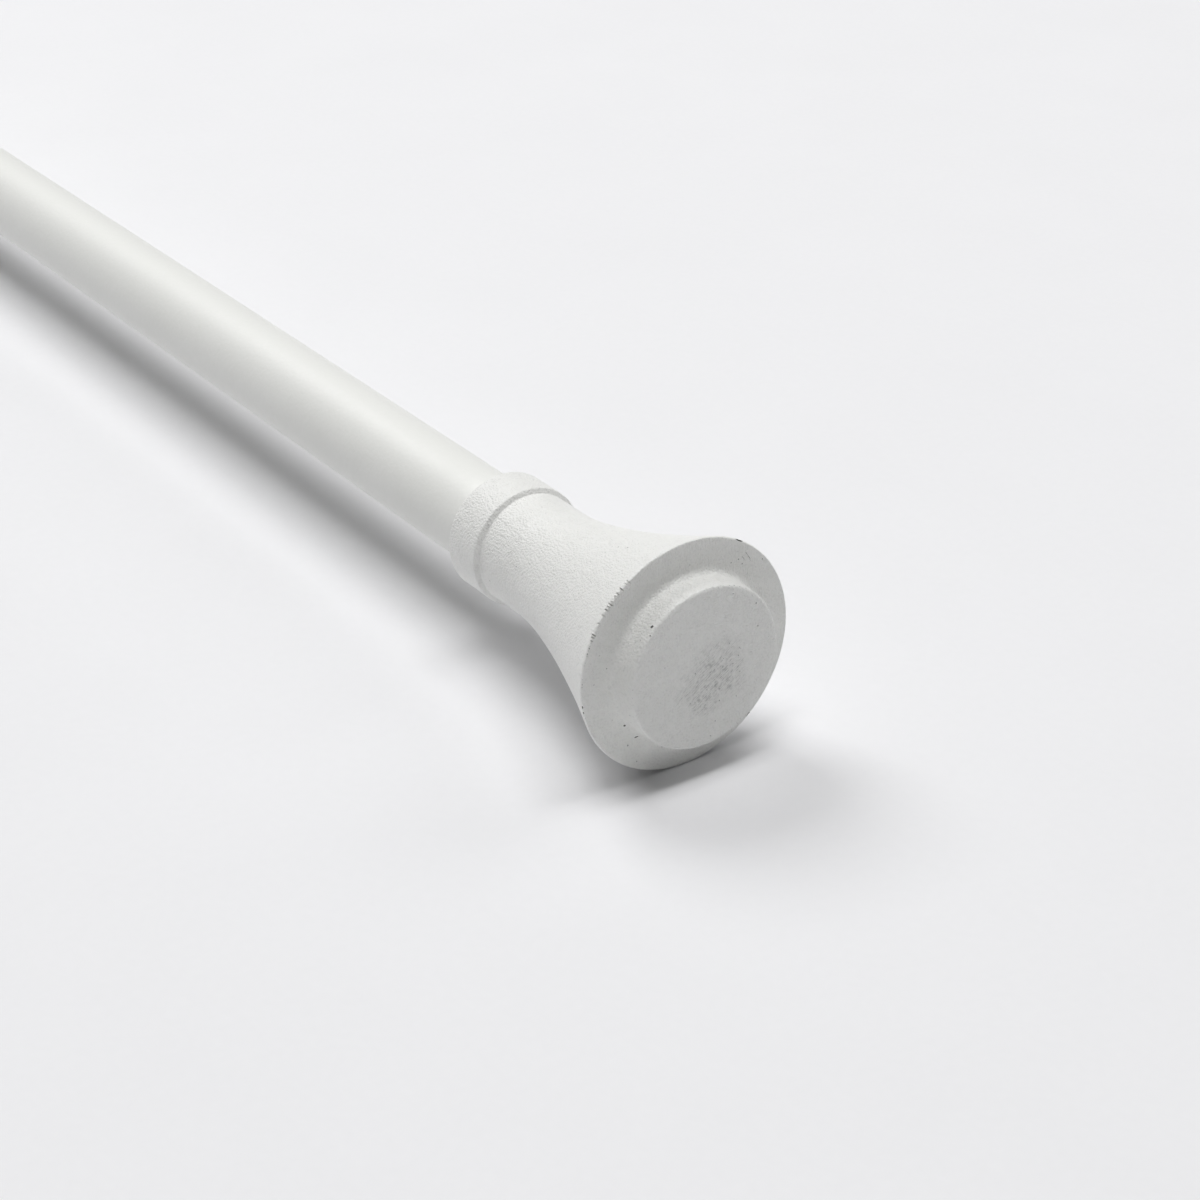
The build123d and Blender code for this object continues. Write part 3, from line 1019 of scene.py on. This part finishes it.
def uneven_surface(piece, sizes, seed):
    """Lets the cast surface wander inwards, slowly and by less than a tenth of a millimetre."""
    group = piece.vertex_groups.new(name="cast_surface")
    outside = [vertex.index for vertex in piece.data.vertices
               if around_axis(vertex.co) > sizes.socket_radius + MM or vertex.co.x > sizes.socket_depth + MM]
    group.add(outside, 1.0, "REPLACE")
    texture = bpy.data.textures.new(f"cast_waves_{seed}", "CLOUDS")
    texture.noise_scale = sizes.unevenness_scale
    texture.noise_depth = 2
    modifier = piece.modifiers.new("cast_waves", "DISPLACE")
    modifier.texture = texture
    modifier.texture_coords = "LOCAL"
    modifier.vertex_group = group.name
    modifier.strength = sizes.unevenness
    modifier.mid_level = 1.0
    apply_all(piece)


def screw_hole_cutter(sizes, material):
    """A round cutter for the grub screw's hole."""
    depth = sizes.collar_radius
    middle = (sizes.screw_setback, 0, -depth / 2 - sizes.socket_radius / 2)
    hole = start_from(bpy.ops.mesh.primitive_cylinder_add, vertices=HOLE_FACES, depth=depth,
                      radius=sizes.screw_hole_radius, location=middle)
    hole.data.materials.append(material)
    set_origin(hole)
    return hole


def make_casting(name, seed, paint, pore, chip, zinc, clocks, marked):
    """One trumpet casting, standing in its own frame with the mouth of its collar at the origin."""
    sizes = bpy.context.scene.rod_finial
    chance = random.Random(seed)
    outline = finial_outline(sizes)
    casting = turned(name, outline, sizes.around)
    for material in (paint, zinc):
        casting.data.materials.append(material)
    paint_faces(casting, lambda centre: PAINT_IN_MOUTH < centre.x < sizes.socket_depth + SOCKET_MARGIN
                and around_axis(centre) < sizes.socket_radius + SOCKET_MARGIN, 1)
    uneven_surface(casting, sizes, seed)
    combine(casting, screw_hole_cutter(sizes, zinc))
    places = scattered_places(outline, sizes, chance, clocks)
    if marked:
        places += listed_places(outline, sizes)
    # Pits and scratches take the pore paint, whose grey is painted shade in them
    combine(casting, join(pit_stones(places, chance, pore), "pits"))
    turn = 0 if marked else SECOND_CHIPS_TURN
    chips = [(clock + turn, *rest) for clock, *rest in DARK_CHIPS]
    combine(casting, join(chip_stones(chips, chance, chip), "chips"))
    if marked:
        combine(casting, join(chip_stones(SCRATCHES, chance, pore), "scratches"))
        combine(casting, join(notch_stones(sizes, chance, paint), "notches"))
    return casting


# The camera stands beside the thick tube's finial, in line with the photograph's view, and the lamps
# and the floor lie around a point near its neck
CAMERA_PLACE = Vector((441.64, -244.31, 230.25)) * MM
CAMERA_LOOK = Vector((-0.71902, 0.50504, -0.47744))
SENSOR_WIDTH = 36
NEAREST_SEEN = 10 * MM
FINIAL_MIDDLE = Vector((95, 0, 0)) * MM
# How bright the camera sees the world past the floor's edge
BACKDROP_LIGHT = 0.92


class ROD_OT_stage(bpy.types.Operator):
    """Lays the pale floor and sets the lamps, the world and the camera."""

    bl_idname = "rod.stage"
    bl_label = "Stage"

    def execute(self, context):
        look = context.scene.rod_stage
        floor = start_from(bpy.ops.mesh.primitive_plane_add, size=look.floor_size,
                           location=(FINIAL_MIDDLE.x, 0, floor_height))
        floor.name = "floor"
        floor.data.materials.append(floor_paper())

        soft_lamp("soft_box", look.box_lean, look.box_lean_aside, look.box_distance,
                  (look.box_length, look.box_width), look.box_power)
        soft_lamp("low_lamp", look.lamp_lean, look.lamp_lean_aside, look.lamp_distance,
                  (look.lamp_length, look.lamp_width), look.lamp_power)
        soft_lamp("fill_lamp", 0, look.fill_lean, look.fill_distance,
                  (look.fill_size, look.fill_size), look.fill_power)
        light_all_around(context.scene, look.world_light)

        camera = start_from(bpy.ops.object.camera_add, location=CAMERA_PLACE)
        camera.rotation_euler = CAMERA_LOOK.to_track_quat("-Z", "Y").to_euler()
        camera.data.lens = look.lens
        camera.data.sensor_width = SENSOR_WIDTH
        camera.data.clip_start = NEAREST_SEEN
        context.scene.camera = camera
        context.scene.view_settings.view_transform = "Standard"
        return {"FINISHED"}


def soft_lamp(name, along, aside, distance, size, power):
    """A rectangular lamp that leans over the finial and faces it."""
    away = Vector((math.tan(along), math.tan(aside), 1)).normalized()
    across = Vector((0, 1, 0))
    side = across.cross(away).normalized()
    turn = Matrix((side, away.cross(side), away)).transposed()
    lamp = start_from(bpy.ops.object.light_add, type="AREA", location=FINIAL_MIDDLE + away * distance)
    lamp.name = name
    lamp.rotation_euler = turn.to_euler()
    lamp.data.shape = "RECTANGLE"
    lamp.data.size, lamp.data.size_y = size
    lamp.data.energy = power


def light_all_around(scene, strength):
    """A weak even world light that the camera sees as a pale backdrop."""
    scene.world = bpy.data.worlds.new("even_light")
    scene.world.use_nodes = True
    tree = scene.world.node_tree
    tree.nodes.clear()
    output = tree.nodes.new("ShaderNodeOutputWorld")
    background = tree.nodes.new("ShaderNodeBackground")
    camera_sees = tree.nodes.new("ShaderNodeLightPath").outputs["Is Camera Ray"]
    tree.links.new(map_range(tree, camera_sees, 0.0, 1.0, strength, BACKDROP_LIGHT),
                   background.inputs["Strength"])
    tree.links.new(background.outputs[0], output.inputs["Surface"])


# Seeds of the two castings' marks
OUTER_SEED, INNER_SEED = 11, 23
# Clock angles over which pits are scattered: the listed marks fill the side that the photograph shows
OUT_OF_VIEW = (60, 215)
ALL_ROUND = (0, 360)
# Where a scuff lies across its disc, the angle of its lines and its radius
OUTER_SCUFF = (2.0 * MM, -2.8 * MM), math.radians(34), 8.5 * MM
INNER_SCUFF = (-4.0 * MM, 3.0 * MM), math.radians(-58), 6.0 * MM


class ROD_OT_finials(bpy.types.Operator):
    """Turns and marks the two cast trumpet finials."""

    bl_idname = "rod.finials"
    bl_label = "Cast finials"

    def execute(self, context):
        sizes = context.scene.rod_finial
        # The pore paint's grey is painted shade in the pits and scratches
        pore, chip, zinc = shaded_pore_paint(), chipped_metal(), socket_zinc()
        face = sizes.rim_distance + sizes.disc_height
        for node, body, collar_x, ahead, seed, clocks, (middle, angle, radius) in (
            ("outer_finial", "thick_end_finial", outer_collar_x, 1, OUTER_SEED, OUT_OF_VIEW, OUTER_SCUFF),
            ("inner_finial", "thin_end_finial", inner_collar_x, -1, INNER_SEED, ALL_ROUND, INNER_SCUFF),
        ):
            in_view = ahead > 0
            paint = casting_paint(node + "_paint", (collar_x + ahead * face, *middle), angle, radius)
            casting = make_casting(node + "_casting", seed, paint, pore, chip, zinc, clocks, in_view)
            move_along(casting, collar_x, not in_view)
            dress(casting, body, node, "cast_paint")
            smooth(casting)
        return {"FINISHED"}


def move_along(piece, x, turned_round):
    """Moves a piece along the rod, turned end for end about the vertical if asked."""
    edit_all(piece)
    if turned_round:
        bpy.ops.transform.rotate(value=math.pi, orient_axis="Z", center_override=(0, 0, 0))
    bpy.ops.transform.translate(value=(x, 0, 0))
    leave_edit()


class ROD_OT_outer_tube(bpy.types.Operator):
    """Turns the thick tube with its drawn-in end."""

    bl_idname = "rod.outer_tube"
    bl_label = "Thick tube"

    def execute(self, context):
        sizes = context.scene.rod_tube
        radius, edge = sizes.outer_radius, sizes.edge_round
        bore = radius - sizes.wall
        end_radius = radius - sizes.end_reduction
        shoulder = outer_collar_x - sizes.shoulder_gap
        tube = turned_ring("outer_tube_steel", [
            (tube_mouth_x, bore, edge),
            (tube_mouth_x, radius, edge),
            (shoulder, radius, edge),
            (shoulder, end_radius, 0),
            (outer_tube_end_x, end_radius, edge),
            (outer_tube_end_x, end_radius - sizes.wall, edge),
            (outer_collar_x - sizes.wall, end_radius - sizes.wall, 0),
            (outer_collar_x - sizes.wall, bore, 0),
        ], sizes.around, PLAIN_SPACING)
        dress(tube, "thick_tube", "outer_tube", "tube_paint", tube_paint(), tube_steel())
        paint_faces(tube, lambda centre: around_axis(centre) < bore + edge / 2
                    or centre.x > shoulder + MM, 1)
        smooth(tube)
        return {"FINISHED"}


# Rounding of the rolled groove's bends
GROOVE_BEND = 0.35 * MM


class ROD_OT_inner_tube(bpy.types.Operator):
    """Turns the thin tube with its rolled groove."""

    bl_idname = "rod.inner_tube"
    bl_label = "Thin tube"

    def execute(self, context):
        sizes = context.scene.rod_tube
        radius, edge = sizes.inner_radius, sizes.edge_round
        bore = radius - sizes.wall
        groove = inner_tube_tip_x - sizes.groove_setback
        half, floor = sizes.groove_width / 2, sizes.groove_width / 2 - sizes.groove_ramp
        depth, bend = sizes.groove_depth, GROOVE_BEND
        tube = turned_ring("inner_tube_steel", [
            (inner_tube_end_x, bore, edge),
            (inner_tube_end_x, radius, edge),
            (groove - half, radius, bend),
            (groove - floor, radius - depth, bend),
            (groove + floor, radius - depth, bend),
            (groove + half, radius, bend),
            (inner_tube_tip_x, radius, edge),
            (inner_tube_tip_x, bore, edge),
            (groove + half, bore, bend),
            (groove + floor, bore - depth, bend),
            (groove - floor, bore - depth, bend),
            (groove - half, bore, bend),
        ], sizes.around, PLAIN_SPACING)
        painted = bpy.data.materials.get("tube_satin_paint") or tube_paint()
        steel = bpy.data.materials.get("bare_tube_steel") or tube_steel()
        dress(tube, "thin_tube", "inner_tube", "tube_paint", painted, steel)
        paint_faces(tube, lambda centre: around_axis(centre) < bore + edge / 2, 1)
        smooth(tube)
        return {"FINISHED"}


class ROD_OT_guides(bpy.types.Operator):
    """Moulds the mouth ring, the guide bush and the reducing sleeve."""

    bl_idname = "rod.guides"
    bl_label = "Plastic guides"

    def execute(self, context):
        sizes = context.scene.rod_plastic
        tubes = context.scene.rod_tube
        finial = context.scene.rod_finial
        nylon = moulded_nylon()
        bore, edge = sizes.sliding_radius, sizes.edge_round

        ring = turned_ring("mouth_ring_moulding", [
            (ring_flange_x, bore, edge),
            (ring_flange_x, tubes.outer_radius, sizes.ring_flange_round),
            (ring_flange_x + sizes.ring_flange, tubes.outer_radius, 0),
            (ring_flange_x + sizes.ring_flange, sizes.ring_sleeve_radius, 0),
            (ring_sleeve_end_x, sizes.ring_sleeve_radius, edge),
            (ring_sleeve_end_x, bore, edge),
        ], sizes.around, PLAIN_SPACING)
        dress(ring, "thick_tube", "mouth_ring", "guide_plastic", nylon)
        smooth(ring)

        groove = inner_tube_tip_x - tubes.groove_setback
        half_bead = sizes.bead_width / 2
        bush = turned_ring("guide_bush_moulding", [
            (bush_mouth_x, bore, edge),
            (bush_mouth_x, sizes.bush_radius, edge),
            (bush_end_x, sizes.bush_radius, edge * 3),
            (bush_end_x, sizes.bush_vent_radius, edge),
            (bush_end_x - sizes.bush_end, sizes.bush_vent_radius, edge),
            (bush_end_x - sizes.bush_end, bore, 0),
            (groove + half_bead, bore, 0),
            (groove, bore - sizes.bead_height, edge),
            (groove - half_bead, bore, 0),
        ], sizes.around, PLAIN_SPACING)
        dress(bush, "guide", "guide_bush", "guide_plastic", nylon)
        smooth(bush)

        sleeve = turned_ring("reducing_sleeve_moulding", [
            (sleeve_lip_x, bore, edge),
            (sleeve_lip_x, sizes.lip_radius, edge * 2),
            (sleeve_lip_x - sizes.lip, sizes.lip_radius, 0),
            (sleeve_lip_x - sizes.lip, sizes.sleeve_radius, 0),
            (sleeve_floor_x, sizes.sleeve_radius, edge),
            (sleeve_floor_x, bore, edge),
        ], sizes.around, PLAIN_SPACING)
        sleeve.data.materials.append(nylon)
        hole = screw_hole_cutter(finial, nylon)
        move_along(hole, inner_collar_x, True)
        combine(sleeve, hole)
        dress(sleeve, "thin_end_finial", "reducing_sleeve", "guide_plastic")
        smooth(sleeve)
        return {"FINISHED"}


class ROD_OT_grub_screws(bpy.types.Operator):
    """Cuts the two grub screws with their threads and key sockets."""

    bl_idname = "rod.grub_screws"
    bl_label = "Grub screws"

    def execute(self, context):
        plating = screw_plating()
        for node, body, low, high in (
            ("outer_finial_screw", "thick_end_screw", outer_screw_low, outer_screw_high),
            ("inner_finial_screw", "thin_end_screw", inner_screw_low, inner_screw_high),
        ):
            screw = grub_screw(node + "_threaded", high.z - low.z)
            edit_all(screw)
            bpy.ops.transform.translate(value=((low.x + high.x) / 2, 0, low.z))
            leave_edit()
            dress(screw, body, node, "screw_steel", plating)
            smooth(screw)
        return {"FINISHED"}


# One turn of thread: how far out of the root, as a share of its depth, and how far up the turn
THREAD_FORM = ((0, 0), (1, 0.4), (1, 0.52), (0, 0.92), (0, 1))
THREAD_SPARE_TURNS = 2
KEY_SIDES = 6


def grub_screw(name, height):
    """A threaded grub screw standing on the origin, with its key socket underneath."""
    sizes = bpy.context.scene.rod_screw
    root = sizes.radius - sizes.thread_depth
    start = -THREAD_SPARE_TURNS * sizes.pitch
    thread = [Vector((root + crest * sizes.thread_depth, start + rise * sizes.pitch))
              for crest, rise in THREAD_FORM]
    screw = wire(name, thread)
    thread_turns = math.ceil(height / sizes.pitch) + 2 * THREAD_SPARE_TURNS
    sweep_round(screw, "Z", sizes.around, sizes.pitch, thread_turns)
    edit_all(screw)
    bpy.ops.mesh.remove_doubles(threshold=MERGE_DISTANCE)
    for cut, outward in ((0, -1), (height, 1)):
        bpy.ops.mesh.select_all(action="SELECT")
        bpy.ops.mesh.bisect(plane_co=(0, 0, cut), plane_no=(0, 0, outward), use_fill=True, clear_outer=True)
    close_skin(screw)
    combine(screw, chamfered_rod(sizes, height), "INTERSECT")
    across_corners = sizes.key_width / math.cos(math.pi / KEY_SIDES)
    key = start_from(bpy.ops.mesh.primitive_cylinder_add, vertices=KEY_SIDES, radius=across_corners / 2,
                     depth=sizes.key_depth * 2)
    set_origin(key)
    combine(screw, key)
    return screw


def chamfered_rod(sizes, height):
    """The plain bar that a grub screw is cut from, with chamfered ends."""
    bar = start_from(bpy.ops.mesh.primitive_cylinder_add, vertices=sizes.around * 2, radius=sizes.radius,
                     depth=height, location=(0, 0, height / 2))
    set_origin(bar)
    modifier = bar.modifiers.new("chamfer", "BEVEL")
    modifier.width = sizes.end_chamfer
    modifier.segments = 1
    apply_all(bar)
    return bar


class ROD_PT_rod(bpy.types.Panel):
    """Lists the steps that dress the curtain rod."""

    bl_idname = "ROD_PT_rod"
    bl_label = "Curtain rod"
    bl_space_type = "VIEW_3D"
    bl_region_type = "UI"
    bl_category = "Curtain rod"

    def draw(self, context):
        for operator in STEPS:
            self.layout.operator(operator.bl_idname, text=operator.bl_label)
        for name in GROUPS:
            box = self.layout.box()
            group = getattr(context.scene, name)
            for size in group.bl_rna.properties.keys():
                if size not in ("rna_type", "name"):
                    box.prop(group, size)


STEPS = (ROD_OT_stage, ROD_OT_outer_tube, ROD_OT_inner_tube, ROD_OT_finials, ROD_OT_guides,
         ROD_OT_grub_screws)
GROUPS = {"rod_finial": FinialSizes, "rod_tube": TubeSizes, "rod_plastic": PlasticSizes,
          "rod_screw": ScrewSizes, "rod_look": RodLook, "rod_stage": StageLook}


def register():
    """Registers the sizes, the steps and the panel."""
    for name, group in GROUPS.items():
        bpy.utils.register_class(group)
        setattr(bpy.types.Scene, name, PointerProperty(type=group))
    for step in (*STEPS, ROD_PT_rod):
        bpy.utils.register_class(step)


def unregister():
    """Takes the panel, the steps and the sizes away again."""
    for step in reversed((*STEPS, ROD_PT_rod)):
        bpy.utils.unregister_class(step)
    for name, group in GROUPS.items():
        delattr(bpy.types.Scene, name)
        bpy.utils.unregister_class(group)


def main():
    """Dresses the whole rod."""
    register()
    bpy.ops.rod.stage()
    bpy.ops.rod.outer_tube()
    bpy.ops.rod.inner_tube()
    bpy.ops.rod.finials()
    bpy.ops.rod.guides()
    bpy.ops.rod.grub_screws()


if __name__ == "__main__":
    main()
